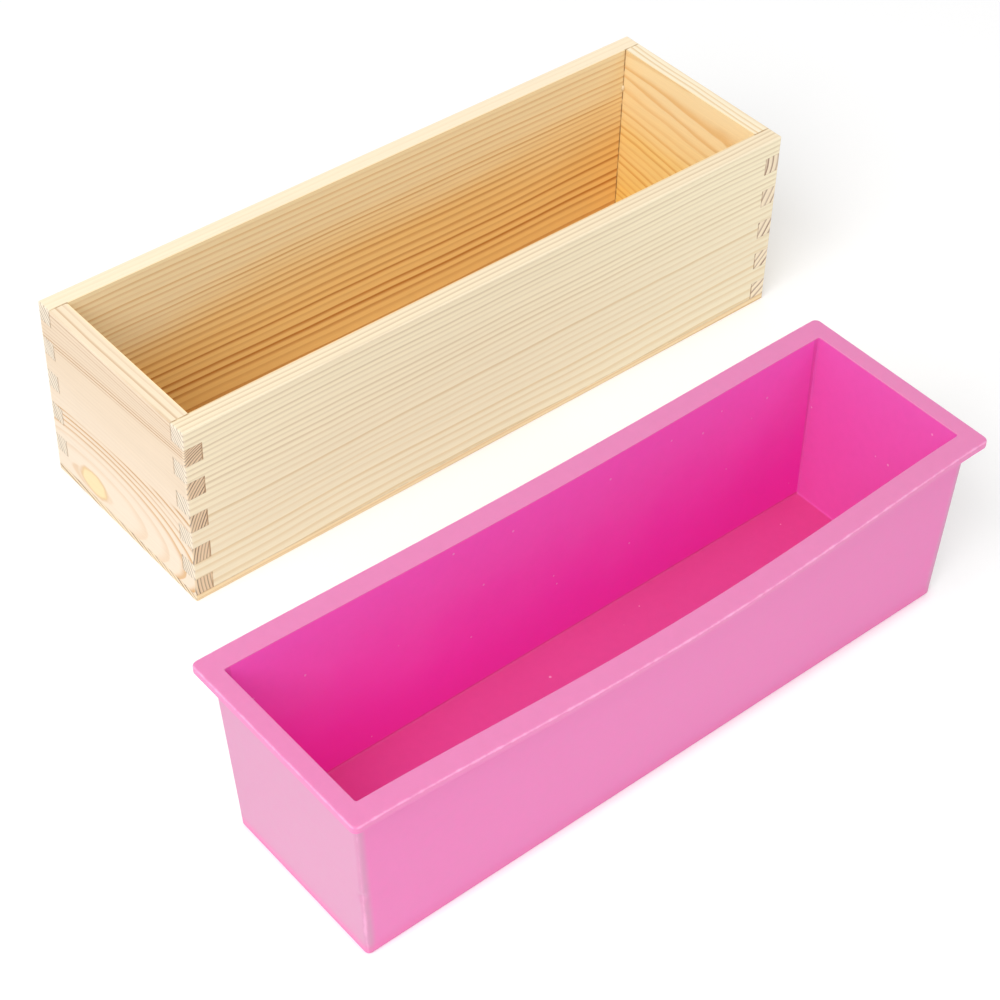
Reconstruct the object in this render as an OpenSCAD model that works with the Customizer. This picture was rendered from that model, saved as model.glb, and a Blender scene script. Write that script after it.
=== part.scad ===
// Soap loaf mould: a finger-jointed wooden box and the soft silicone liner that hangs in it.
// The origin is at the centre of the box's underside. X runs along the box and Y to its back.
// The liner stands in front of the box, parallel to it, on the same surface.

/* [Wooden box] */
// Length of the box outside, along X
box_length = 280; // [180:1:420]
// Width of the box outside, along Y
box_width = 90; // [60:1:150]
// Height of the box outside, with the bottom board
box_height = 80; // [50:1:130]
// Thickness of the four wall boards
wall = 7.5; // [5:0.5:12]
// Thickness of the board glued on underneath
bottom_thickness = 3; // [2:0.5:6]
// Width of the flat sanded along each outside edge
edge_flat = 0.5; // [0.2:0.1:1.5]

/* [Finger joints] */
// Fingers at each corner, counting both boards
finger_count = 10; // [4:2:16]
// How much thinner an end board's finger is than its slot
finger_play = 0.1; // [0.05:0.05:0.4]

/* [Silicone liner] */
// Thickness of the liner's walls
liner_wall = 3; // [1.5:0.5:5]
// Thickness of the liner's floor
liner_floor = 3; // [1.5:0.5:5]
// Gap between the liner and each box wall, at the rim
liner_clearance = 1.5; // [0.5:0.25:4]
// Gap under the liner when its flange hangs on the rim
liner_hang_gap = 4; // [1:0.5:10]
// How far each wall leans in from the flange to the base, for release
draft = 2; // [0.5:0.25:5]
// Radius of the liner's upright corners, at the base
liner_corner = 1.5; // [0.5:0.25:5]
// Radius of the cavity's upright corners, at its floor
cavity_corner = 0.5; // [0.25:0.25:4]

/* [Flange] */
// Thickness of the flange round the top
flange_thickness = 3; // [2:0.5:6]
// How far the flange rests on the top of each end board
end_seat = 2.5; // [1:0.5:4.5]
// How far the flange rests on the top of each long board
side_seat = 4; // [1:0.5:4.5]
// Radius of the flange's corners
flange_corner = 2.5; // [1:0.5:8]

/* [Layout] */
// Free space between the box's front and the flange
liner_stand_off = 84; // [20:1:150]
// How far to the left of the box's centre the liner stands
liner_shift = 60; // [0:1:120]

/* [Hidden] */
$fn = 32;
overcut = 1;

inside_length = box_length - 2 * wall;
inside_width = box_width - 2 * wall;
wall_height = box_height - bottom_thickness;
finger_pitch = wall_height / finger_count;
end_finger_rows = [0 : 2 : finger_count - 2];

liner_length = inside_length - 2 * liner_clearance;
liner_width = inside_width - 2 * liner_clearance;
hang_depth = wall_height - liner_hang_gap;
liner_height = hang_depth + flange_thickness;
base_length = liner_length - 2 * draft;
base_width = liner_width - 2 * draft;
draft_slope = draft / hang_depth;
flange_length = inside_length + 2 * end_seat;
flange_width = inside_width + 2 * side_seat;
liner_place = [-liner_shift, -(box_width + flange_width) / 2 - liner_stand_off, 0];

// Corners of a rectangle about the origin with a flat across each corner
function flattened(a, b, flat) = [
    for (s = [[1, 1], [-1, 1], [-1, -1], [1, -1]])
        for (k = s.x * s.y > 0 ? [[0, 1], [1, 0]] : [[1, 0], [0, 1]])
            [s.x * (a / 2 - k.x * flat), s.y * (b / 2 - k.y * flat)]
];

// The whole box as one block, with a flat along every outside edge
module box_block() {
    translate([0, 0, box_height / 2])
        intersection() {
            linear_extrude(height = box_height, center = true)
                polygon(flattened(box_length, box_width, edge_flat));
            rotate([90, 0, 0])
                linear_extrude(height = box_width, center = true)
                    polygon(flattened(box_length, box_height, edge_flat));
            rotate([90, 0, 90])
                linear_extrude(height = box_length, center = true)
                    polygon(flattened(box_width, box_height, edge_flat));
        }
}

// Space that a row of an end board's finger takes out of a long board
module finger_slot(end, side, row) {
    reach = wall + overcut;
    translate([
        end * (inside_length + reach) / 2,
        side * (inside_width / 2 + wall / 2),
        bottom_thickness + (row + 0.5) * finger_pitch
    ])
        cube([reach, wall + 2 * overcut, finger_pitch], center = true);
}

// Finger of an end board, as long as the long board is thick
module end_finger(end, side, row) {
    translate([
        end * (inside_length + wall) / 2,
        side * (inside_width + wall) / 2,
        bottom_thickness + (row + 0.5) * finger_pitch
    ])
        cube([wall, wall, finger_pitch - finger_play], center = true);
}

// Long wall board: side is -1 at the front and 1 at the back
module long_board(side) {
    difference() {
        intersection() {
            box_block();
            translate([-box_length / 2, side * (inside_width + wall) / 2 - wall / 2, bottom_thickness])
                cube([box_length, wall, wall_height]);
        }
        for (end = [-1, 1], row = end_finger_rows)
            finger_slot(end, side, row);
    }
}

// End wall board: end is -1 at the left and 1 at the right
module end_board(end) {
    intersection() {
        box_block();
        union() {
            translate([end * (inside_length + wall) / 2 - wall / 2, -inside_width / 2, bottom_thickness])
                cube([wall, inside_width, wall_height]);
            for (side = [-1, 1], row = end_finger_rows)
                end_finger(end, side, row);
        }
    }
}

module front_board() {
    color([0.93, 0.85, 0.70])
        long_board(-1);
}

module back_board() {
    color([0.90, 0.76, 0.54])
        long_board(1);
}

module left_end_board() {
    color([0.97, 0.91, 0.80])
        end_board(-1);
}

module right_end_board() {
    color([0.92, 0.79, 0.58])
        end_board(1);
}

module bottom_board() {
    color([0.88, 0.77, 0.58])
        intersection() {
            box_block();
            translate([-box_length / 2, -box_width / 2, 0])
                cube([box_length, box_width, bottom_thickness]);
        }
}

// Rectangle about the origin with round corners
module rounded_rectangle(a, b, radius) {
    square([a - 2 * radius, b], center = true);
    square([a, b - 2 * radius], center = true);
    for (sx = [-1, 1], sy = [-1, 1])
        translate([sx * (a / 2 - radius), sy * (b / 2 - radius)])
            circle(r = radius);
}

// Prism along Y whose ends lean out by the draft, from a length of a at its foot
module drafted_prism(a, b, height) {
    spread = height * draft_slope;
    rotate([90, 0, 0])
        linear_extrude(height = b, center = true)
            polygon([[-a / 2, 0], [a / 2, 0], [a / 2 + spread, height], [-a / 2 - spread, height]]);
}

// Block with round corners whose four sides lean out by the draft, from a foot of a by b
module drafted_block(a, b, height, radius) {
    drafted_prism(a, b - 2 * radius, height);
    rotate([0, 0, 90])
        drafted_prism(b, a - 2 * radius, height);
    for (sx = [-1, 1], sy = [-1, 1])
        translate([sx * (a / 2 - radius), sy * (b / 2 - radius), 0])
            cylinder(h = height, r1 = radius, r2 = radius + height * draft_slope);
}

module silicone_liner() {
    inset = liner_wall - liner_floor * draft_slope;
    cavity_length = base_length - 2 * inset;
    cavity_width = base_width - 2 * inset;
    cavity_height = liner_height - liner_floor + overcut;
    color([0.95, 0.52, 0.76])
        translate(liner_place)
            difference() {
                union() {
                    drafted_block(base_length, base_width, hang_depth + flange_thickness / 2, liner_corner);
                    translate([0, 0, hang_depth])
                        linear_extrude(height = flange_thickness)
                            rounded_rectangle(flange_length, flange_width, flange_corner);
                }
                translate([0, 0, liner_floor])
                    drafted_block(cavity_length, cavity_width, cavity_height, cavity_corner);
            }
}

front_board();
back_board();
left_end_board();
right_end_board();
bottom_board();
silicone_liner();
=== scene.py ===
import math

import bmesh
import bpy
from mathutils import Matrix, Vector


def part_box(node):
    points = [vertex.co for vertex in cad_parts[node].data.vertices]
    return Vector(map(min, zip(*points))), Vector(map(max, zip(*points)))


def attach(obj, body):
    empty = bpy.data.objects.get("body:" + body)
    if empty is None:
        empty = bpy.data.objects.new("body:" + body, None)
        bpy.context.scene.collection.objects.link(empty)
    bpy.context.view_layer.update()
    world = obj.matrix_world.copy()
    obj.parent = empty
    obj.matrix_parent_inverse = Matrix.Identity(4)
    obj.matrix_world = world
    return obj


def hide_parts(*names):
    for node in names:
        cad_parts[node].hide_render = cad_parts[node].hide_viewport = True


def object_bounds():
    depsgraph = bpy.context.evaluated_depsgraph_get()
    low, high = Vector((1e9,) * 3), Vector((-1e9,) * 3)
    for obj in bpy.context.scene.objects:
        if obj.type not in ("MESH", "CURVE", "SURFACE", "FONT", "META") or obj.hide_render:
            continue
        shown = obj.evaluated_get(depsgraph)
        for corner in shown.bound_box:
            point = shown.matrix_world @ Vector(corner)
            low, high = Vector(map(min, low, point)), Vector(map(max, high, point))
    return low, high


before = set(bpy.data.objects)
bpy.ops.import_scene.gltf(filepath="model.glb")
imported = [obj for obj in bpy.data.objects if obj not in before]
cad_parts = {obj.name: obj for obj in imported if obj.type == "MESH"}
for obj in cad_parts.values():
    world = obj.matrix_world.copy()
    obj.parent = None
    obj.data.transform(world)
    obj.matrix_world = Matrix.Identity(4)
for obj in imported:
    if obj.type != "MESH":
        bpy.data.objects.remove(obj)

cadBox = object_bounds()
mm = 0.001
tiny = 0.01 * mm  # places closer than this are taken as the same
scene = bpy.context.scene


def newPiece(name, bm, body, replaced, material):  # a finished mesh at the origin
    bmesh.ops.recalc_face_normals(bm, faces=bm.faces)
    for face in bm.faces:
        face.smooth = True
    mesh = bpy.data.meshes.new(name)
    bm.to_mesh(mesh)
    bm.free()
    mesh.set_sharp_from_angle(angle=math.radians(50))
    mesh.materials.append(material)
    piece = bpy.data.objects.new(name, mesh)
    scene.collection.objects.link(piece)
    evenShading = piece.modifiers.new("evenShading", "WEIGHTED_NORMAL")
    evenShading.keep_sharp = True
    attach(piece, body)
    if replaced:
        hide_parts(replaced)
    return piece


def put(socket, value, tree):  # a link for a socket, a plain value for anything else
    if isinstance(value, bpy.types.NodeSocket):
        tree.links.new(value, socket)
    elif value is not None:
        socket.default_value = value


def calc(tree, operation, a, b=None, c=None):
    node = tree.nodes.new("ShaderNodeMath")
    node.operation = operation
    for socket, value in zip(node.inputs, (a, b, c)):
        put(socket, value, tree)
    return node.outputs[0]


def vectorCalc(tree, operation, a, b=None):
    node = tree.nodes.new("ShaderNodeVectorMath")
    node.operation = operation
    put(node.inputs[0], a, tree)
    put(node.inputs[1], b, tree)
    return node.outputs["Value" if operation == "DOT_PRODUCT" else "Vector"]


def parts(tree, vector):
    node = tree.nodes.new("ShaderNodeSeparateXYZ")
    put(node.inputs[0], vector, tree)
    return node.outputs


def joined(tree, x, y, z):
    node = tree.nodes.new("ShaderNodeCombineXYZ")
    for socket, value in zip(node.inputs, (x, y, z)):
        put(socket, value, tree)
    return node.outputs[0]


def fade(tree, value, start, end, low=0.0, high=1.0):  # low at start, high at end, smooth between
    node = tree.nodes.new("ShaderNodeMapRange")
    node.interpolation_type = "SMOOTHSTEP"
    items = {"Value": value, "From Min": start, "From Max": end, "To Min": low, "To Max": high}
    for name, item in items.items():
        put(node.inputs[name], item, tree)
    return node.outputs[0]


def mixed(tree, factor, a, b, blend="MIX"):
    node = tree.nodes.new("ShaderNodeMix")
    node.data_type = "RGBA"
    node.blend_type = blend
    put(node.inputs[0], factor, tree)
    for socket, value in ((node.inputs[6], a), (node.inputs[7], b)):
        put(socket, (*value, 1) if isinstance(value, tuple) else value, tree)
    return node.outputs[2]


def noise(tree, vector, scale=1.0, detail=2.0, rough=0.5):
    node = tree.nodes.new("ShaderNodeTexNoise")
    put(node.inputs["Vector"], vector, tree)
    node.inputs["Scale"].default_value = scale
    node.inputs["Detail"].default_value = detail
    node.inputs["Roughness"].default_value = rough
    return node.outputs


def noiseAlong(tree, value, scale):  # one-dimensional noise
    node = tree.nodes.new("ShaderNodeTexNoise")
    node.noise_dimensions = "1D"
    put(node.inputs["W"], value, tree)
    node.inputs["Scale"].default_value = scale
    node.inputs["Detail"].default_value = 1.0
    return node.outputs[0]


def randomOf(tree, value):
    node = tree.nodes.new("ShaderNodeTexWhiteNoise")
    node.noise_dimensions = "1D"
    put(node.inputs["W"], value, tree)
    return node.outputs[0]


def scaledPlace(tree, position, factors, seed):
    return vectorCalc(tree, "ADD", vectorCalc(tree, "MULTIPLY", position, factors), seed)


def grey(tree, value):  # the same number in all three parts of a vector or colour
    return joined(tree, value, value, value)


def objectPlace(tree):  # each point's own place, in millimetres
    coords = tree.nodes.new("ShaderNodeTexCoord")
    return vectorCalc(tree, "MULTIPLY", coords.outputs["Object"], (1000, 1000, 1000))


def startMaterial(name):
    material = bpy.data.materials.new(name)
    material.use_nodes = True
    tree = material.node_tree
    return material, tree, tree.nodes["Principled BSDF"]


def addBump(tree, shader, height, strength, distance):
    bump = tree.nodes.new("ShaderNodeBump")
    bump.inputs["Strength"].default_value = strength
    bump.inputs["Distance"].default_value = distance
    put(bump.inputs["Height"], height, tree)
    put(shader.inputs["Normal"], bump.outputs[0], tree)


def startGroup(name, inputs, outputs):  # inputs are name: start value, or None for a vector
    tree = bpy.data.node_groups.new(name, "ShaderNodeTree")
    for label, value in inputs.items():
        kind = "NodeSocketVector" if value is None else "NodeSocketFloat"
        socket = tree.interface.new_socket(name=label, in_out="INPUT", socket_type=kind)
        if value is not None:
            socket.default_value = value
    for label in outputs:
        tree.interface.new_socket(name=label, in_out="OUTPUT", socket_type="NodeSocketFloat")
    return tree, tree.nodes.new("NodeGroupInput").outputs, tree.nodes.new("NodeGroupOutput").inputs


def placeGroup(tree, group, values):
    node = tree.nodes.new("ShaderNodeGroup")
    node.node_tree = group
    for label, value in values.items():
        put(node.inputs[label], value, tree)
    return node.outputs


ringShape = {  # lengths in millimetres
    "slowDrift": (0.007, 0.018, 0.018),  # how fast the wander changes along, up and into a board
    "quickDrift": (0.035, 0.07, 0.07),
    "slopeEnds": (66.0, 79.5),  # the slope fades out between these heights, and the bend between the next
    "bendEnds": (32.0, 68.0),  # so that the lines run straight along the top edge
    "lateStarts": (0.35, 0.86),  # shares of a year
    "lateStops": (0.9, 1.0),
}


def makeRingGroup():  # growth rings round a pith
    tree, given, result = startGroup(
        "growthRings",
        {"Position": None, "Pith Height": -20.0, "Pith Depth": 60.0, "Ring Width": 1.4, "Wander": 3.0,
         "Slope": 0.0, "Bend": 0.0, "Bend Place": 0.0, "Unevenness": 1.0, "Seed": 0.0},
        ["Late Wood", "Ring Tone"],
    )
    seed = grey(tree, given["Seed"])
    slow = scaledPlace(tree, given["Position"], ringShape["slowDrift"], seed)
    quick = scaledPlace(tree, given["Position"], ringShape["quickDrift"], seed)
    slowDrift = parts(tree, noise(tree, slow, 1.0, 1.0)[1])
    quickDrift = parts(tree, noise(tree, quick, 1.0, 2.0)[1])
    place = parts(tree, given["Position"])
    wander = calc(tree, "MULTIPLY", given["Wander"], 2.0)
    ripple = calc(tree, "MULTIPLY", given["Wander"], 0.3)

    def drifted(axis, value):
        value = calc(tree, "MULTIPLY_ADD", calc(tree, "SUBTRACT", slowDrift[axis], 0.5), wander, value)
        return calc(tree, "MULTIPLY_ADD", calc(tree, "SUBTRACT", quickDrift[axis], 0.5), ripple, value)

    sloped = calc(tree, "MULTIPLY", given["Slope"], fade(tree, place[1], *ringShape["slopeEnds"], 1.0, 0.0))
    leaning = calc(tree, "MULTIPLY_ADD", place[0], sloped, place[1])
    across = drifted(0, calc(tree, "SUBTRACT", leaning, given["Pith Height"]))
    fromBend = calc(tree, "SUBTRACT", place[0], given["Bend Place"])
    bent = calc(tree, "MULTIPLY", calc(tree, "MULTIPLY", fromBend, fromBend), given["Bend"])
    bent = calc(tree, "MULTIPLY", bent, fade(tree, place[1], *ringShape["bendEnds"], 1.0, 0.0))
    through = drifted(1, calc(tree, "SUBTRACT", calc(tree, "ADD", given["Pith Depth"], bent), place[2]))
    squares = calc(tree, "MULTIPLY_ADD", across, across, calc(tree, "MULTIPLY", through, through))
    radius = calc(tree, "SQRT", squares)
    spacing = noiseAlong(tree, calc(tree, "ADD", radius, calc(tree, "MULTIPLY", given["Seed"], 17.0)), 0.09)
    shifted = calc(tree, "MULTIPLY", calc(tree, "SUBTRACT", spacing, 0.5), given["Unevenness"])
    years = calc(tree, "ADD", calc(tree, "DIVIDE", radius, given["Ring Width"]), shifted)
    season = calc(tree, "FRACT", years)
    rise = fade(tree, season, *ringShape["lateStarts"])
    fall = fade(tree, season, *ringShape["lateStops"], 1.0, 0.0)
    put(result["Late Wood"], calc(tree, "MULTIPLY", rise, fall), tree)
    ownNumber = calc(tree, "ADD", calc(tree, "FLOOR", years), given["Seed"])
    put(result["Ring Tone"], randomOf(tree, ownNumber), tree)
    return tree


def makeFibreGroup():  # fine streaks along the grain
    tree, given, result = startGroup("woodFibre", {"Position": None, "Seed": 0.0}, ["Streak", "Pore"])
    seed = grey(tree, given["Seed"])
    broad = scaledPlace(tree, given["Position"], (0.02, 1.1, 1.1), seed)
    fine = scaledPlace(tree, given["Position"], (0.16, 6.0, 6.0), seed)
    put(result["Streak"], noise(tree, broad, 1.0, 4.0, 0.6)[0], tree)
    put(result["Pore"], noise(tree, fine, 1.0, 2.0, 0.6)[0], tree)
    return tree


def makeEdgeGroup():  # 1 along the outer edges of a block, 0 on its faces
    tree, given, result = startGroup(
        "sandedEdge", {"Position": None, "Half Size": None, "Reach": 1.5}, ["Edge"],
    )
    fromMiddle = vectorCalc(tree, "ABSOLUTE", given["Position"])
    inset = vectorCalc(tree, "SUBTRACT", given["Half Size"], fromMiddle)
    x, y, z = parts(tree, inset)
    low = calc(tree, "MINIMUM", x, y)
    high = calc(tree, "MAXIMUM", x, y)
    middle = calc(tree, "MAXIMUM", low, calc(tree, "MINIMUM", high, z))
    ragged = calc(tree, "MULTIPLY_ADD", noise(tree, given["Position"], 0.3, 3.0, 0.6)[0], 1.2, -0.6)
    put(result["Edge"], fade(tree, calc(tree, "ADD", middle, ragged), 0.0, given["Reach"], 1.0, 0.0), tree)
    return tree


def makeSpeckGroup():  # scattered small specks of dust
    tree, given, result = startGroup(
        "dustSpecks", {"Position": None, "Spacing": 6.0, "Size": 0.3, "Share": 0.25}, ["Speck"],
    )
    cells = tree.nodes.new("ShaderNodeTexVoronoi")
    put(cells.inputs["Vector"], given["Position"], tree)
    put(cells.inputs["Scale"], calc(tree, "DIVIDE", 1.0, given["Spacing"]), tree)
    near = calc(tree, "MULTIPLY", cells.outputs["Distance"], given["Spacing"])
    size = calc(tree, "MULTIPLY", given["Size"], parts(tree, cells.outputs["Color"])[1])
    spot = fade(tree, near, calc(tree, "MULTIPLY", size, 0.6), size, 1.0, 0.0)
    kept = calc(tree, "LESS_THAN", parts(tree, cells.outputs["Color"])[0], given["Share"])
    put(result["Speck"], calc(tree, "MULTIPLY", spot, kept), tree)
    return tree


growthRings = makeRingGroup()
woodFibre = makeFibreGroup()
sandedEdge = makeEdgeGroup()
dustSpecks = makeSpeckGroup()
print("shared effects made")

frontLow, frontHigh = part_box("front_board")
backLow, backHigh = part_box("back_board")
leftLow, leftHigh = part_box("left_end_board")
wall = leftHigh.x - leftLow.x
wallFoot = frontLow.z
wallTop = frontHigh.z
halfBox = Vector((-leftLow.x, backHigh.y, wallTop / 2))  # the box stands on z = 0, about the origin
insideX = leftHigh.x
insideY = frontHigh.y

joinery = {
    "fingers": 10,  # at each corner, both boards together
    "play": 0.1 * mm,  # an end board's finger is this much thinner than its slot
    "edgeRound": 0.45 * mm,  # sanded outer edges
    "edgeSteps": 3,
}
pitch = (wallTop - wallFoot) / joinery["fingers"]


def makePine(name, look, along, inward, outerFace, insideLength):
    # along is the grain's axis; inward points from the board's outer face into the box
    material, tree, shader = startMaterial(name)
    place = objectPlace(tree)
    width = inward.cross(along)
    width = Vector([abs(v) for v in width])
    u = vectorCalc(tree, "DOT_PRODUCT", place, tuple(along))
    v = vectorCalc(tree, "DOT_PRODUCT", place, tuple(width))
    depth = calc(tree, "ADD", vectorCalc(tree, "DOT_PRODUCT", place, tuple(inward)), outerFace / mm)
    board = joined(tree, u, v, depth)

    ring = placeGroup(tree, growthRings, {
        "Position": board, "Pith Height": look["pithHeight"], "Pith Depth": look["pithDepth"],
        "Ring Width": look["ringWidth"], "Wander": look["wander"], "Slope": look["slope"],
        "Bend": look["bend"][0], "Bend Place": look["bend"][1], "Unevenness": look["unevenness"],
        "Seed": look["seed"],
    })
    fibre = placeGroup(tree, woodFibre, {"Position": board, "Seed": look["seed"]})
    halfSize = tuple(value / mm for value in halfBox)
    fromMiddle = vectorCalc(tree, "SUBTRACT", place, (0, 0, halfSize[2]))
    wearAndHighlight = placeGroup(tree, sandedEdge, {"Position": fromMiddle, "Half Size": halfSize, "Reach": 1.6})

    blotch = noise(tree, vectorCalc(tree, "MULTIPLY", board, (0.008, 0.05, 0.05)), 1.0, 2.0)[0]
    level = calc(tree, "MULTIPLY_ADD", calc(tree, "SUBTRACT", blotch, 0.5), 40.0, v)
    lower = fade(tree, level, look["turn"][0], look["turn"][1])
    leaning = calc(tree, "MULTIPLY_ADD", u, look["slope"], v)
    calmHeight, calmReach = look["calm"]
    fromCalm = calc(tree, "ABSOLUTE", calc(tree, "SUBTRACT", leaning, calmHeight))
    loud = fade(tree, fromCalm, calmReach, calmReach + 2.0, 0.06, 1.0)
    bold = calc(tree, "MULTIPLY", fade(tree, fromCalm, calmReach + 3.0, calmReach + 6.0, 0.9, 0.0), loud)
    strength = calc(tree, "MULTIPLY_ADD", ring["Ring Tone"], 0.75, 0.25)
    strength = calc(tree, "ADD", calc(tree, "MULTIPLY", strength, loud), bold)
    lateWood = calc(tree, "POWER", ring["Late Wood"], look["crispness"])
    top = wallTop / mm
    upward = fade(tree, v, top - 0.35, top - 0.05)
    quiet = calc(tree, "MULTIPLY_ADD", upward, look["topLines"] - 1.0, 1.0)
    strength = calc(tree, "MULTIPLY", calc(tree, "MULTIPLY", lateWood, quiet), strength)
    ground = mixed(tree, lower, look["upper"], look["lower"])
    lines = mixed(tree, lower, look["lineUpper"], look["lineLower"])
    inside = fade(tree, depth, wall / mm - 0.9, wall / mm - 0.1)
    # painted shade: the grain lines on the inner faces are deeper in colour, more so low down
    lines = mixed(tree, calc(tree, "MULTIPLY", inside, lower), lines, look["lineInsideShaded"])
    if "heart" in look:  # the pale heart of a cathedral figure
        heartAlong, heartHeight, heartLength, heartWidth = look["heart"]
        fromHeart = vectorCalc(tree, "SUBTRACT", board, (heartAlong, heartHeight, 0))
        fromHeart = vectorCalc(tree, "MULTIPLY", fromHeart, (1 / heartLength, 1 / heartWidth, 0))
        uneven = calc(tree, "MULTIPLY_ADD", noise(tree, board, 0.15, 2.0)[0], 0.8, -0.4)
        fromHeart = calc(tree, "ADD", vectorCalc(tree, "DOT_PRODUCT", fromHeart, fromHeart), uneven)
        ground = mixed(tree, fade(tree, fromHeart, 0.8, 1.25, 0.9, 0.0), ground, look["heartColour"])
        rim = fade(tree, fromHeart, 1.0, 1.5, 1.0, 0.0)
        rim = calc(tree, "MULTIPLY", fade(tree, fromHeart, 0.6, 1.0), rim)
        ground = mixed(tree, calc(tree, "MULTIPLY", rim, 0.5), ground, look["lineLower"])
        strength = calc(tree, "MULTIPLY", strength, fade(tree, fromHeart, 1.0, 1.8))
    face = mixed(tree, calc(tree, "MULTIPLY", strength, look["contrast"]), ground, lines)

    # painted light: the inner faces are tinted, mostly warmer and deeper low down, standing in for the
    # shade and the warm bounced light inside the box; the left board's inner face is made lighter
    insideLightMix = mixed(tree, lower, look["paintedInsideLight"], look["paintedInsideLightLow"])
    face = mixed(tree, inside, face, mixed(tree, 1.0, face, insideLightMix, "MULTIPLY"))
    streaked = calc(tree, "MULTIPLY_ADD", fibre["Streak"], 0.14, 0.93)
    brightness = calc(tree, "MULTIPLY", streaked, calc(tree, "MULTIPLY_ADD", fibre["Pore"], 0.1, 0.95))
    face = mixed(tree, 1.0, face, grey(tree, brightness), "MULTIPLY")
    # painted light: the top edge's colour is scaled apart from the faces, standing in for the different
    # light on it
    face = mixed(tree, upward, face, mixed(tree, 1.0, face, look["paintedTopLight"], "MULTIPLY"))

    sawnStrength = calc(tree, "MULTIPLY_ADD", ring["Ring Tone"], 0.5, 0.5)
    sawnStrength = calc(tree, "MULTIPLY", calc(tree, "POWER", ring["Late Wood"], 1.6), sawnStrength)
    sawn = mixed(tree, sawnStrength, look["endPale"], look["endDark"])
    reach = calc(tree, "ABSOLUTE", u)
    halfLength = halfSize[0] if along.x else halfSize[1]
    colour = mixed(tree, fade(tree, reach, halfLength - 0.5, halfLength - 0.2), face, sawn)

    # thin dark lines where the boards meet, inside the corners and between the fingers
    cornerStart = insideLength / mm
    corner = calc(tree, "MULTIPLY", inside, fade(tree, reach, cornerStart - 0.5, cornerStart - 0.1))
    row = calc(tree, "SUBTRACT", v, (wallFoot - pitch / 2) / mm)
    row = calc(tree, "FRACT", calc(tree, "DIVIDE", row, pitch / mm))
    toJoint = calc(tree, "MULTIPLY", calc(tree, "ABSOLUTE", calc(tree, "SUBTRACT", row, 0.5)), pitch / mm)
    jointed = fade(tree, reach, cornerStart - 0.1, cornerStart)
    jointed = calc(tree, "MULTIPLY", jointed, fade(tree, v, top - 2, top - 1, 1.0, 0.0))
    joint = calc(tree, "MULTIPLY", fade(tree, toJoint, 0.08, 0.26, 1.0, 0.0), jointed)
    gap = calc(tree, "MAXIMUM", corner, calc(tree, "MULTIPLY", joint, look["jointLine"]))
    footGap = fade(tree, v, wallFoot / mm + 0.1, wallFoot / mm + 0.45, look["jointLine"] * 1.6, 0.0)
    gap = calc(tree, "MAXIMUM", gap, footGap)
    gap = calc(tree, "MULTIPLY", gap, fade(tree, noise(tree, place, 0.35, 2.0)[0], 0.3, 0.6, 0.25, 0.85))
    colour = mixed(tree, gap, colour, look["gapColour"])
    colour = mixed(tree, calc(tree, "MULTIPLY", wearAndHighlight["Edge"], 0.3), colour, look["edge"])
    put(shader.inputs["Base Color"], colour, tree)

    rough = calc(tree, "MULTIPLY_ADD", ring["Late Wood"], -0.12, 0.62)
    put(shader.inputs["Roughness"], calc(tree, "MULTIPLY_ADD", fibre["Pore"], 0.14, rough), tree)
    relief = calc(tree, "MULTIPLY_ADD", ring["Late Wood"], 0.5, calc(tree, "MULTIPLY", fibre["Pore"], 0.5))
    addBump(tree, shader, calc(tree, "SUBTRACT", relief, gap), 0.3, 0.1 * mm)
    shader.inputs["Specular IOR Level"].default_value = 0.35
    return material


def startBlock(low, high):
    bm = bmesh.new()
    bmesh.ops.create_cube(bm, size=1.0)
    bmesh.ops.scale(bm, vec=high - low, verts=bm.verts)
    bmesh.ops.translate(bm, vec=(high + low) / 2, verts=bm.verts)
    return bm


def cut(bm, place, normal):
    everything = bm.verts[:] + bm.edges[:] + bm.faces[:]
    bmesh.ops.bisect_plane(bm, geom=everything, plane_co=place, plane_no=normal, dist=1e-7)


def growFingers(bm, along, rows, play):  # pull a finger out at both ends of the board in each of its rows
    feet = [wallFoot + pitch * row for row in rows]
    spans = [(foot + play / 2, foot + pitch - play / 2) for foot in feet]
    for foot, top in spans:
        cut(bm, (0, 0, foot), (0, 0, 1))
        cut(bm, (0, 0, top), (0, 0, 1))
    for side in (-1, 1):
        for foot, top in spans:
            bm.normal_update()
            pad = [
                f for f in bm.faces
                if f.normal.dot(along) * side > 0.99 and foot < f.calc_center_median().z < top
            ]
            grown = bmesh.ops.extrude_discrete_faces(bm, faces=pad)["faces"]
            corners = list({v for f in grown for v in f.verts})
            bmesh.ops.translate(bm, vec=along * side * wall, verts=corners)


def bevelEdges(bm, edges, radius, steps):
    bmesh.ops.bevel(
        bm, geom=edges, offset=radius, offset_type="OFFSET", affect="EDGES",
        segments=steps, profile=0.5, material=-1,
    )


def roundOuterEdges(bm):  # only the edges on the outline of the whole box are sanded round
    def outlines(v):  # the outer faces of the box that a point lies on
        touched = {level for level in (0.0, wallTop) if abs(v.co.z - level) < tiny}
        for axis in (0, 1):
            if abs(abs(v.co[axis]) - halfBox[axis]) < tiny:
                touched.add((axis, v.co[axis] > 0))
        return touched

    rounded = [e for e in bm.edges if len(outlines(e.verts[0]) & outlines(e.verts[1])) >= 2]
    bevelEdges(bm, rounded, joinery["edgeRound"], joinery["edgeSteps"])


alongX = Vector((1, 0, 0))
alongY = Vector((0, 1, 0))
alongZ = Vector((0, 0, 1))
upperRows = range(1, joinery["fingers"], 2)  # the long boards have the top finger
lowerRows = range(0, joinery["fingers"], 2)


def makeLongBoard(name, node, look, inward):
    low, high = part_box(node)
    bm = startBlock(Vector((insideX, low.y, low.z)), Vector((-insideX, high.y, high.z)))
    growFingers(bm, alongX, upperRows, 0.0)
    roundOuterEdges(bm)
    pine = makePine(name + "Pine", look, alongX, inward, halfBox.y, -insideX)
    return newPiece(name, bm, "box", node, pine)


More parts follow.
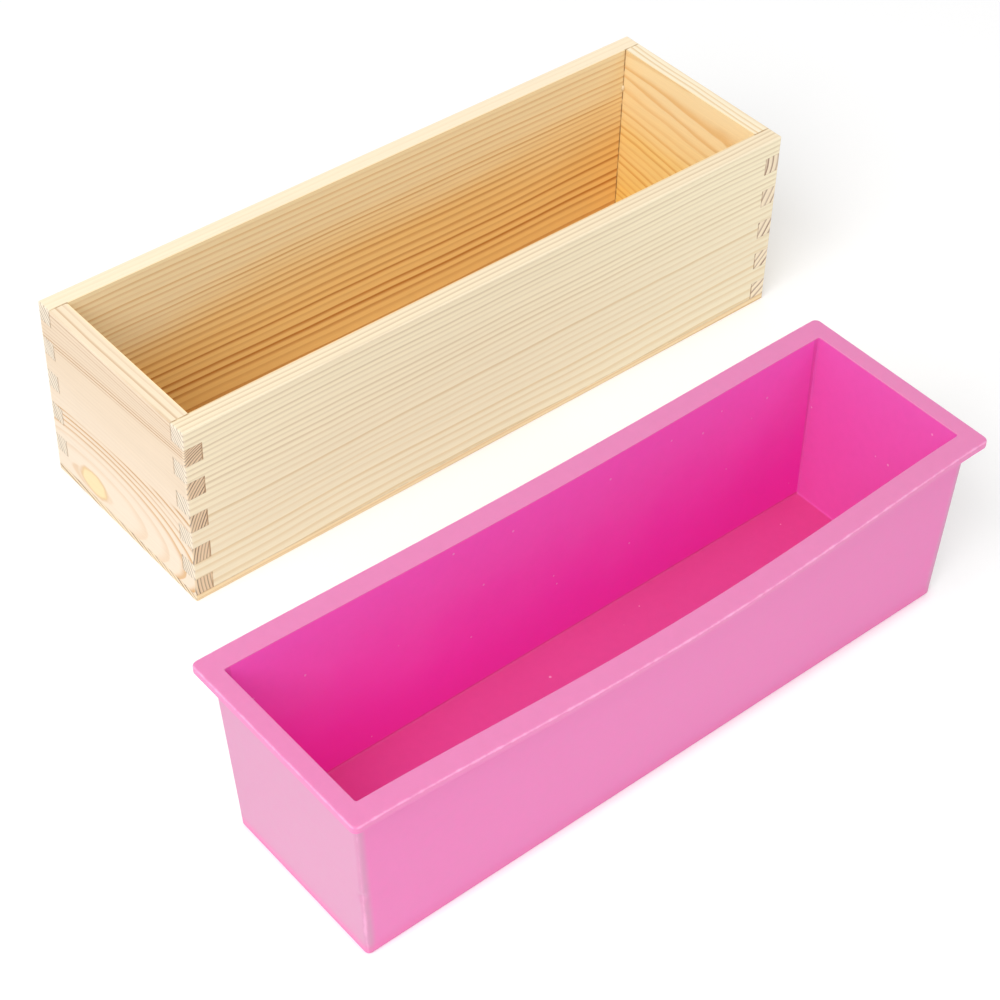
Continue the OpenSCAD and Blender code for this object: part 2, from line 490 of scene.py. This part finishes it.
def makeEndBoard(name, node, look, inward):
    low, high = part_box(node)
    bm = startBlock(Vector((low.x, insideY, low.z)), Vector((high.x, -insideY, high.z)))
    growFingers(bm, alongY, lowerRows, joinery["play"])
    roundOuterEdges(bm)
    pine = makePine(name + "Pine", look, alongY, inward, halfBox.x, -insideY)
    return newPiece(name, bm, "box", node, pine)


boardLook = {  # what the boards have in common; lengths in millimetres
    "slope": 0.0,  # how far the lines fall for each millimetre along the board
    "bend": (0.0, 0.0),  # how much the pith bends away, and where along the board it is nearest
    "calm": (-200.0, 1.0),  # height of a band without lines, and half its width
    "crispness": 1.0,  # higher for thinner lines
    "topLines": 1.0,  # strength of the lines on the top edge
    # painted light: a colour scale for the top edge, standing in for the light on it
    "paintedTopLight": (1.0, 1.0, 1.0),
    "edge": (0.96, 0.85, 0.65),  # worn outer edges
    "endPale": (0.80, 0.70, 0.56),
    "endDark": (0.20, 0.13, 0.09),
    "gapColour": (0.36, 0.20, 0.09),
    "jointLine": 0.35,  # strength of the dark lines between fingers
}
# pithHeight and pithDepth place the tree's centre above the table and behind the board's outer face;
# the upper colours give way to the lower ones between the two heights in turn
# the inside tints and the inside line colours are painted light: shade and warm bounced light inside the
# box
frontLook = {
    **boardLook,
    "pithHeight": -45.0, "pithDepth": 140.0, "ringWidth": 1.5, "wander": 1.5, "slope": -0.004,
    "unevenness": 1.3, "seed": 3.1, "turn": (75.0, 20.0), "contrast": 0.88,
    "upper": (0.94, 0.845, 0.605), "lower": (0.875, 0.775, 0.565),
    "lineUpper": (0.62, 0.48, 0.30), "lineLower": (0.72, 0.52, 0.26), "lineInsideShaded": (0.62, 0.40, 0.17),
    "paintedInsideLight": (1.0, 0.92, 0.76), "paintedInsideLightLow": (1.0, 0.88, 0.62), "paintedTopLight": (0.99, 0.93, 0.92),
}
backLook = {
    **boardLook,
    "pithHeight": -45.0, "pithDepth": -140.0, "ringWidth": 1.5, "wander": 0.9,
    "unevenness": 1.4, "seed": 11.7, "turn": (68.0, 30.0), "contrast": 1.0, "topLines": 0.2,
    "upper": (0.98, 0.875, 0.655), "lower": (0.93, 0.80, 0.57),
    "lineUpper": (0.82, 0.60, 0.34), "lineLower": (0.66, 0.43, 0.20), "lineInsideShaded": (0.54, 0.25, 0.065),
    "paintedInsideLight": (1.0, 0.95, 0.82), "paintedInsideLightLow": (1.05, 0.855, 0.505), "paintedTopLight": (1.0, 0.95, 0.92),
}
leftLook = {
    **boardLook,
    "pithHeight": 9.0, "pithDepth": 45.0, "ringWidth": 1.3, "wander": 1.2, "slope": 0.06,
    "bend": (0.0012, 20.0), "unevenness": 0.8, "seed": 5.3, "turn": (70.0, 10.0), "calm": (51.0, 13.0),
    "contrast": 1.0, "crispness": 1.8, "topLines": 0.8,
    "upper": (0.74, 0.595, 0.44), "lower": (0.80, 0.68, 0.545),
    "lineUpper": (0.48, 0.28, 0.14), "lineLower": (0.64, 0.37, 0.15), "lineInsideShaded": (0.64, 0.37, 0.15),
    "paintedInsideLight": (1.15, 1.10, 0.95), "paintedInsideLightLow": (1.12, 1.0, 0.75), "paintedTopLight": (1.23, 1.27, 1.25),
    "edge": (0.90, 0.79, 0.60), "endPale": (0.77, 0.58, 0.38), "endDark": (0.06, 0.025, 0.018),
    "heart": (20.0, 10.0, 8.5, 5.2),  # place along the board, height, half length and half width
    "heartColour": (0.82, 0.67, 0.38),
}
rightLook = {
    **boardLook,
    "pithHeight": 90.0, "pithDepth": 62.0, "ringWidth": 2.7, "wander": 4.5, "slope": -0.14,
    "unevenness": 0.8, "seed": 8.9, "turn": (70.0, 10.0), "contrast": 0.8, "crispness": 1.4,
    "upper": (0.97, 0.85, 0.63), "lower": (0.93, 0.80, 0.56),
    "lineUpper": (0.78, 0.49, 0.19), "lineLower": (0.70, 0.46, 0.20), "lineInsideShaded": (0.70, 0.41, 0.14),
    "paintedInsideLight": (1.0, 0.92, 0.74), "paintedInsideLightLow": (1.03, 0.85, 0.37),
    "endPale": (0.92, 0.78, 0.57), "endDark": (0.20, 0.085, 0.05),
    "gapColour": (0.30, 0.15, 0.06), "jointLine": 0.25,
}
bottomLook = {
    **boardLook,
    "pithHeight": 60.0, "pithDepth": -200.0, "ringWidth": 1.9, "wander": 1.2, "slope": 0.01,
    "unevenness": 1.0, "seed": 2.2, "turn": (200.0, 100.0), "contrast": 0.8,
    "upper": (0.90, 0.73, 0.47), "lower": (0.88, 0.70, 0.43),
    "lineUpper": (0.62, 0.36, 0.14), "lineLower": (0.62, 0.34, 0.12), "lineInsideShaded": (0.62, 0.34, 0.12),
    "paintedInsideLight": (1.0, 0.9, 0.7), "paintedInsideLightLow": (1.0, 0.9, 0.7),
    "edge": (0.88, 0.70, 0.45), "endPale": (0.80, 0.66, 0.46), "endDark": (0.16, 0.045, 0.02),
    "jointLine": 0.0,
}
makeLongBoard("frontBoard", "front_board", frontLook, alongY)
makeLongBoard("backBoard", "back_board", backLook, -alongY)
makeEndBoard("leftEndBoard", "left_end_board", leftLook, alongX)
makeEndBoard("rightEndBoard", "right_end_board", rightLook, -alongX)
bottomLow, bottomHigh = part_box("bottom_board")
bm = startBlock(bottomLow, bottomHigh)
roundOuterEdges(bm)
bottomPine = makePine("bottomBoardPine", bottomLook, alongX, alongZ, 0.0, -insideX)
newPiece("bottomBoard", bm, "box", "bottom_board", bottomPine)

glueDrop = {
    "radius": 0.75 * mm,
    "stretch": (0.9, 0.9, 1.7),
    "height": 62.0 * mm,
    "standsOut": 0.35 * mm,  # how far its middle is in front of both boards
    "colour": (0.93, 0.80, 0.58),
}


def makeGlue(look):  # dried wood glue, cloudy and half glossy
    material, tree, shader = startMaterial("driedGlue")
    cloud = noise(tree, objectPlace(tree), 1.2, 3.0)[0]
    deep = tuple(part * 0.8 for part in look["colour"])
    put(shader.inputs["Base Color"], mixed(tree, cloud, look["colour"], deep), tree)
    put(shader.inputs["Roughness"], calc(tree, "MULTIPLY_ADD", cloud, 0.3, 0.25), tree)
    addBump(tree, shader, cloud, 0.4, 0.1 * mm)
    return material


# a drop of glue squeezed out of the back right inner corner
bm = bmesh.new()
bmesh.ops.create_icosphere(bm, subdivisions=3, radius=glueDrop["radius"])
bmesh.ops.scale(bm, vec=glueDrop["stretch"], verts=bm.verts)
dropPlace = Vector((-insideX - glueDrop["standsOut"], -insideY - glueDrop["standsOut"], glueDrop["height"]))
bmesh.ops.translate(bm, vec=dropPlace, verts=bm.verts)
newPiece("glueDrop", bm, "box", None, makeGlue(glueDrop))
print("box boards made")

liner = {
    "wall": 3.0 * mm,
    "floor": 3.0 * mm,
    "flange": 3.0 * mm,
    "overhang": (4.0 * mm, 5.5 * mm),  # of the flange beyond the walls, at the ends and at the sides
    "draft": 2.0 * mm,  # each wall leans in this much from the flange to the base
    "cornerRound": 1.8 * mm,
    "flangeCorner": 2.5 * mm,
    "cavityCorner": 0.8 * mm,
    "flangeRound": 0.8 * mm,
    "lipRound": 0.35 * mm,
    "footRound": 0.9 * mm,
    "floorRound": 0.7 * mm,
    "frontBow": 4.8 * mm,  # the soft long walls aren't straight: the front one bows out
    "backBow": 1.8 * mm,  # and the back one follows it a little
    "endLean": 3.5 * mm,  # the left end leans in towards its base
    "nick": {"height": 31.0 * mm, "reach": 3.0 * mm, "depth": 0.9 * mm},  # torn front left upright edge
    "stations": 32,  # cuts along it, for the bow
    "bands": 8,  # cuts across it and up it
}
silicone = {  # what the outside and the inside have in common
    "speckColour": (0.95, 0.62, 0.80),
    "speckSpacing": 8.0,  # millimetres
    "speckSize": 0.7,
    "bounceColour": (0.85, 0.75, 0.79),  # keeps the pink from colouring the wood
}
outsideSilicone = {  # matt, and paler than the inside, as painted sheen; the ends are paler still, as painted light
    "low": (0.78, 0.185, 0.46), "high": (0.78, 0.185, 0.46), "floor": (0.78, 0.185, 0.46),
    "paintedEndLight": (0.635, 0.267, 0.437), "edge": (0.93, 0.45, 0.69), "foot": (0.80, 0.16, 0.42),
    "rim": (0.765, 0.225, 0.46), "roughness": 0.36, "specks": 0.12, "reach": 0.004,
}
insideSilicone = {  # smooth, and deeper in colour towards the floor
    "low": (0.96, 0.062, 0.60), "high": (0.97, 0.138, 0.635), "floor": (0.76, 0.086, 0.335),
    "paintedEndLight": (0.83, 0.125, 0.52), "roughness": 0.3, "specks": 0.7, "reach": 0.12,
    "glow": (0.09, 0.003, 0.034),  # painted glow, standing in for the light that comes through the thin left end
    "glowAlong": (15.0, 130.0),  # millimetres from the left end of the flange, strongest first
    "glowUp": (10.0, 78.0),
}


def paintOutside(tree, look, body, place):  # painted light: pale ends, a paler rim, painted highlights on the rim and upright edges, and a deeper foot
    rimFoot = (linerHigh.z - liner["flange"]) / mm
    fromMiddleX, y, z = parts(tree, place)
    fromMiddleY = calc(tree, "ABSOLUTE", calc(tree, "SUBTRACT", y, linerMiddle.y / mm))
    leaning = fade(tree, z, 0.0, rimFoot, liner["draft"] / mm, 0.0)
    wallX = (linerHalf.x - liner["overhang"][0]) / mm  # where the walls meet the flange
    wallY = (linerHalf.y - liner["overhang"][1]) / mm
    toEnd = calc(tree, "SUBTRACT", wallX, calc(tree, "ADD", fromMiddleX, leaning))
    toSide = calc(tree, "SUBTRACT", wallY, calc(tree, "ADD", fromMiddleY, leaning))
    underRim = fade(tree, z, rimFoot - 0.4, rimFoot, 1.0, 0.0)
    # painted light: the outer end walls are made paler, standing in for the light and sheen on them
    atEnd = calc(tree, "MULTIPLY", fade(tree, toEnd, 1.2, 4.0, 1.0, 0.0), underRim)
    body = mixed(tree, atEnd, body, look["paintedEndLight"])
    # painted sheen: the flange is made paler than the walls
    body = mixed(tree, fade(tree, z, rimFoot + 0.3, rimFoot + 1.5), body, look["rim"])
    body = mixed(tree, fade(tree, z, 0.5, 7.0, 0.75, 0.0), body, look["foot"])
    ragged = noise(tree, vectorCalc(tree, "MULTIPLY", place, (1, 1, 0.35)), 0.4, 3.0, 0.7)[0]
    # painted highlight: a pale, ragged line down the upright edges
    toUpright = calc(tree, "MULTIPLY_ADD", ragged, 1.6, calc(tree, "MAXIMUM", toEnd, toSide))
    upright = calc(tree, "MULTIPLY", fade(tree, toUpright, 0.9, 1.8, 0.5, 0.0), underRim)
    rimSize = (linerHalf.x / mm, linerHalf.y / mm, linerHigh.z / mm)
    rim = placeGroup(tree, sandedEdge, {
        "Position": joined(tree, fromMiddleX, fromMiddleY, z), "Half Size": rimSize, "Reach": 0.8,
    })
    # painted highlight: a pale line along the flange's outer edges
    rimEdge = calc(tree, "MULTIPLY", rim["Edge"], fade(tree, z, rimFoot, rimFoot + 0.5))
    # the two painted highlights are laid over the colour here
    wearAndHighlight = calc(tree, "MAXIMUM", upright, calc(tree, "MULTIPLY", rimEdge, 0.8))
    return mixed(tree, wearAndHighlight, body, look["edge"])


def paintInside(tree, look, body, fromMiddleX):  # painted light: the inner end walls get a colour of their own, standing in for how they are lit
    flangeEnd = linerHalf.x / mm
    atEnd = fade(tree, fromMiddleX, flangeEnd - 9.6, flangeEnd - 8.9)
    return mixed(tree, atEnd, body, look["paintedEndLight"])


# painted light: an emission on the inside, strongest near the left end and low down, standing in for light
# through the thin wall
def lightThroughEnd(tree, look, x, z):
    fromLeft = calc(tree, "SUBTRACT", x, linerLow.x / mm)
    along = fade(tree, fromLeft, *look["glowAlong"], 1.0, 0.0)
    glow = calc(tree, "MULTIPLY", along, fade(tree, z, *look["glowUp"], 1.0, 0.15))
    return mixed(tree, glow, (0.0, 0.0, 0.0), look["glow"])


def makeSilicone(name, look):
    material, tree, shader = startMaterial(name)
    unbent = tree.nodes.new("ShaderNodeAttribute")  # where each point was before the walls were bowed
    unbent.attribute_name = "unbentPlace"
    place = vectorCalc(tree, "MULTIPLY", unbent.outputs["Vector"], (1000, 1000, 1000))
    x, y, z = parts(tree, place)
    cloud = noise(tree, place, 0.03, 2.0)[0]
    fog = noise(tree, place, 0.3, 4.0, 0.6)[0]
    speck = placeGroup(tree, dustSpecks, {
        "Position": place, "Spacing": silicone["speckSpacing"], "Size": silicone["speckSize"],
        "Share": look["specks"],
    })["Speck"]
    height = calc(tree, "MULTIPLY_ADD", calc(tree, "SUBTRACT", cloud, 0.5), 30.0, z)
    body = mixed(tree, fade(tree, height, 10.0, 65.0), look["low"], look["high"])
    floorTop = liner["floor"] / mm
    body = mixed(tree, fade(tree, z, floorTop + 0.4, floorTop + 1.2, 1.0, 0.0), body, look["floor"])
    fromMiddleX = calc(tree, "ABSOLUTE", calc(tree, "SUBTRACT", x, linerMiddle.x / mm))
    if "glow" in look:
        body = paintInside(tree, look, body, fromMiddleX)
        put(shader.inputs["Emission Color"], lightThroughEnd(tree, look, x, z), tree)
        shader.inputs["Emission Strength"].default_value = 1.0
    else:
        body = paintOutside(tree, look, body, joined(tree, fromMiddleX, y, z))
    shade = calc(tree, "MULTIPLY_ADD", fog, 0.08, 0.96)
    body = mixed(tree, 1.0, body, grey(tree, shade), "MULTIPLY")
    body = mixed(tree, calc(tree, "MULTIPLY", speck, 0.6), body, silicone["speckColour"])
    path = tree.nodes.new("ShaderNodeLightPath")
    far = calc(tree, "GREATER_THAN", path.outputs["Ray Length"], look["reach"])
    bounced = calc(tree, "MULTIPLY", far, path.outputs["Is Diffuse Ray"])
    body = mixed(tree, bounced, body, silicone["bounceColour"])
    put(shader.inputs["Base Color"], body, tree)
    put(shader.inputs["Roughness"], calc(tree, "MULTIPLY_ADD", fog, 0.2, look["roughness"]), tree)
    shader.inputs["Subsurface Weight"].default_value = 0.25
    shader.inputs["Subsurface Radius"].default_value = (1.0, 0.35, 0.6)
    shader.inputs["Subsurface Scale"].default_value = 1.5 * mm
    shader.inputs["Specular IOR Level"].default_value = 0.4
    addBump(tree, shader, calc(tree, "MULTIPLY_ADD", speck, 0.6, fog), 0.2, 0.15 * mm)
    return material


linerLow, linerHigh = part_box("silicone_liner")
linerMiddle = Vector(((linerLow.x + linerHigh.x) / 2, (linerLow.y + linerHigh.y) / 2, 0))
linerHalf = Vector(((linerHigh.x - linerLow.x) / 2, (linerHigh.y - linerLow.y) / 2, 0))


def growTop(bm, spread, rise):  # pull the working face out, wider by spread on each side and up by rise
    bm.normal_update()
    top = max(bm.faces, key=lambda f: (f.select, f.normal.z, f.calc_center_median().z))
    grown = bmesh.ops.extrude_discrete_faces(bm, faces=[top])["faces"][0]
    for face in bm.faces:
        face.select = False
    grown.select = True  # it is the working face from now on
    centre = grown.calc_center_median()
    for v in grown.verts:
        v.co.x += spread[0] * math.copysign(1, v.co.x - centre.x)
        v.co.y += spread[1] * math.copysign(1, v.co.y - centre.y)
        v.co.z += rise
    return grown


def roundEdges(bm, radius, steps, wanted):  # round the sharp edges that a test picks
    sharp = [e for e in bm.edges if e.is_manifold and e.calc_face_angle() > 0.6]
    bevelEdges(bm, [e for e in sharp if wanted(e.verts[0].co, e.verts[1].co)], radius, steps)


def makeLiner():
    low, high = linerLow, linerHigh
    centre = linerMiddle
    overhang = Vector((*liner["overhang"], 0))
    half = linerHalf - overhang  # of the walls under the flange
    hang = high.z - liner["flange"]
    draft = liner["draft"]
    lean = draft / hang
    foot = half - Vector((draft, draft, 0))
    bm = startBlock(centre - foot, centre + foot + Vector((0, 0, hang)))
    bm.normal_update()
    lid = max(bm.faces, key=lambda f: f.normal.z)
    lid.select = True
    for v in lid.verts:
        v.co.x += math.copysign(draft, v.co.x - centre.x)
        v.co.y += math.copysign(draft, v.co.y - centre.y)
    growTop(bm, liner["overhang"], 0.0)
    growTop(bm, (0.0, 0.0), liner["flange"])
    rimIn = liner["wall"] - lean * liner["flange"]
    growTop(bm, (-overhang.x - rimIn, -overhang.y - rimIn), 0.0)
    depth = high.z - liner["floor"]
    growTop(bm, (-lean * depth, -lean * depth), -depth)

    def level(a, b, height):
        return abs(a.z - height) < tiny and abs(b.z - height) < tiny

    def upright(a, b, shortest):
        return abs(a.x - b.x) < 3 * mm and abs(a.y - b.y) < 3 * mm and abs(a.z - b.z) > shortest

    def beyond(a, x, y):
        return abs(a.x - centre.x) > x, abs(a.y - centre.y) > y

    def outside(a):
        return all(beyond(a, foot.x - 0.1 * mm, foot.y - 0.1 * mm))

    def onFlange(a):
        return any(beyond(a, half.x + 1 * mm, half.y + 1 * mm))

    def flangeEdge(a, b):
        return onFlange(a) and onFlange(b)

    def wallEdge(a, b):
        return upright(a, b, hang / 2) and outside(a) and outside(b)

    roundEdges(bm, liner["flangeCorner"], 8, lambda a, b: upright(a, b, 1 * mm) and flangeEdge(a, b))
    roundEdges(bm, liner["cornerRound"], 6, wallEdge)
    roundEdges(bm, liner["cavityCorner"], 4, lambda a, b: upright(a, b, hang / 2) and not outside(a))
    roundEdges(bm, liner["flangeRound"], 4, lambda a, b: level(a, b, high.z) and flangeEdge(a, b))
    roundEdges(bm, liner["flangeRound"] * 0.5, 3, lambda a, b: level(a, b, hang) and flangeEdge(a, b))
    roundEdges(bm, liner["lipRound"], 3, lambda a, b: level(a, b, high.z) and not onFlange(a))
    roundEdges(bm, liner["footRound"], 4, lambda a, b: level(a, b, 0.0))
    roundEdges(bm, liner["floorRound"], 4, lambda a, b: level(a, b, liner["floor"]))

    stations = liner["stations"]
    bands = liner["bands"]
    for step in range(1, stations):
        cut(bm, (low.x + (high.x - low.x) * step / stations, 0, 0), alongX)
    for step in range(1, bands):
        cut(bm, (0, low.y + (high.y - low.y) * step / bands, 0), alongY)
        cut(bm, (0, 0, hang * step / bands), alongZ)
    nick = liner["nick"]
    corner = centre - half
    for step in range(-4, 5):
        cut(bm, (0, 0, nick["height"] + nick["reach"] * step / 4), alongZ)
    for face in bm.faces:  # the second material is the smooth inside of the cavity
        spot = face.calc_center_median()
        withinX = abs(spot.x - centre.x) < half.x - liner["wall"]
        withinY = abs(spot.y - centre.y) < half.y - liner["wall"]
        face.material_index = int(withinX and withinY and spot.z > liner["floor"] / 2)
    unbentPlace = bm.verts.layers.float_vector.new("unbentPlace")
    for v in bm.verts:
        v[unbentPlace] = v.co
        # the nick is deepest on the corner at its own height
        along = abs(v.co.z - nick["height"]) / nick["reach"]
        across = math.hypot(v.co.x - corner.x - draft / 2, v.co.y - corner.y - draft / 2) / (2.5 * mm)
        dent = nick["depth"] * max(0.0, 1 - along) * max(0.0, 1.2 - across)
        v.co.x += dent
        v.co.y += dent
        # the bow and the lean
        t = min(max((v.co.x - centre.x + half.x) / (2 * half.x), 0.0), 1.0)
        lift = max(v.co.z / high.z, 0.0) ** 1.2
        towardsFront = (centre.y + half.y - v.co.y) / (2 * half.y)
        bow = liner["backBow"] + (liner["frontBow"] - liner["backBow"]) * towardsFront
        v.co.y -= bow * max(math.sin(math.pi * t), 0.0) ** 1.5 * lift
        v.co.x += liner["endLean"] * max(0.0, 1 - 2 * t) ** 2 * (1 - v.co.z / high.z)
    return bm


outsidePink = makeSilicone("pinkSiliconeOutside", outsideSilicone)
linerPiece = newPiece("siliconeLiner", makeLiner(), "liner", "silicone_liner", outsidePink)
linerPiece.data.materials.append(makeSilicone("pinkSiliconeInside", insideSilicone))
print("liner made")

stage = {"size": 8.0, "colour": (0.95, 0.95, 0.95), "glow": 0.08}
bm = bmesh.new()
bmesh.ops.create_grid(bm, x_segments=2, y_segments=2, size=stage["size"] / 2)
floorMesh = bpy.data.meshes.new("floor")
bm.to_mesh(floorMesh)
bm.free()
floor = bpy.data.objects.new("floor", floorMesh)
scene.collection.objects.link(floor)
floorPaint, _, floorShader = startMaterial("paleFloor")
floorShader.inputs["Base Color"].default_value = (*stage["colour"], 1)
floorShader.inputs["Roughness"].default_value = 0.9
floorShader.inputs["Emission Color"].default_value = (1, 1, 1, 1)  # keeps the far floor white
floorShader.inputs["Emission Strength"].default_value = stage["glow"]
floorMesh.materials.append(floorPaint)

studio = {
    "sky": 0.72,
    "lamps": {  # place from the middle of the object in metres, size, watts
        "keyLamp": ((-1.1, -0.4, 1.2), 1.1, 16.0),
        "edgeLamp": ((0.78, -1.1, 0.88), 0.3, 1.0),
    },
}
world = bpy.data.worlds.new("studio")
world.use_nodes = True
sky = world.node_tree.nodes["Background"]
sky.inputs["Color"].default_value = (1, 1, 1, 1)
sky.inputs["Strength"].default_value = studio["sky"]
scene.world = world
middle = (Vector(cadBox[0]) + Vector(cadBox[1])) / 2
for name, (place, size, watts) in studio["lamps"].items():
    lamp = bpy.data.lights.new(name, "AREA")
    lamp.size = size
    lamp.energy = watts
    holder = bpy.data.objects.new(name, lamp)
    holder.location = middle + Vector(place)
    holder.rotation_euler = Vector(place).to_track_quat("Z", "Y").to_euler()
    scene.collection.objects.link(holder)

view = {
    "lens": 87.25, "heading": 40.98, "tilt": -43.37, "roll": 1.84, "distance": 0.8458,
    "aim": (-0.0494, -0.1032, 0.04),
}
cameraData = bpy.data.cameras.new("camera")
cameraData.lens = view["lens"]
cameraData.sensor_width = 36.0
cameraData.clip_start = 0.01
camera = bpy.data.objects.new("camera", cameraData)
turn = Matrix.Rotation(math.radians(-view["heading"]), 4, "Z")
turn = turn @ Matrix.Rotation(math.radians(90 + view["tilt"]), 4, "X")
turn = turn @ Matrix.Rotation(math.radians(view["roll"]), 4, "Z")
stand = Vector(view["aim"]) + turn @ Vector((0, 0, view["distance"]))
camera.matrix_world = Matrix.Translation(stand) @ turn
scene.collection.objects.link(camera)
scene.camera = camera
scene.view_settings.view_transform = "Standard"
print("stage, light and camera set")
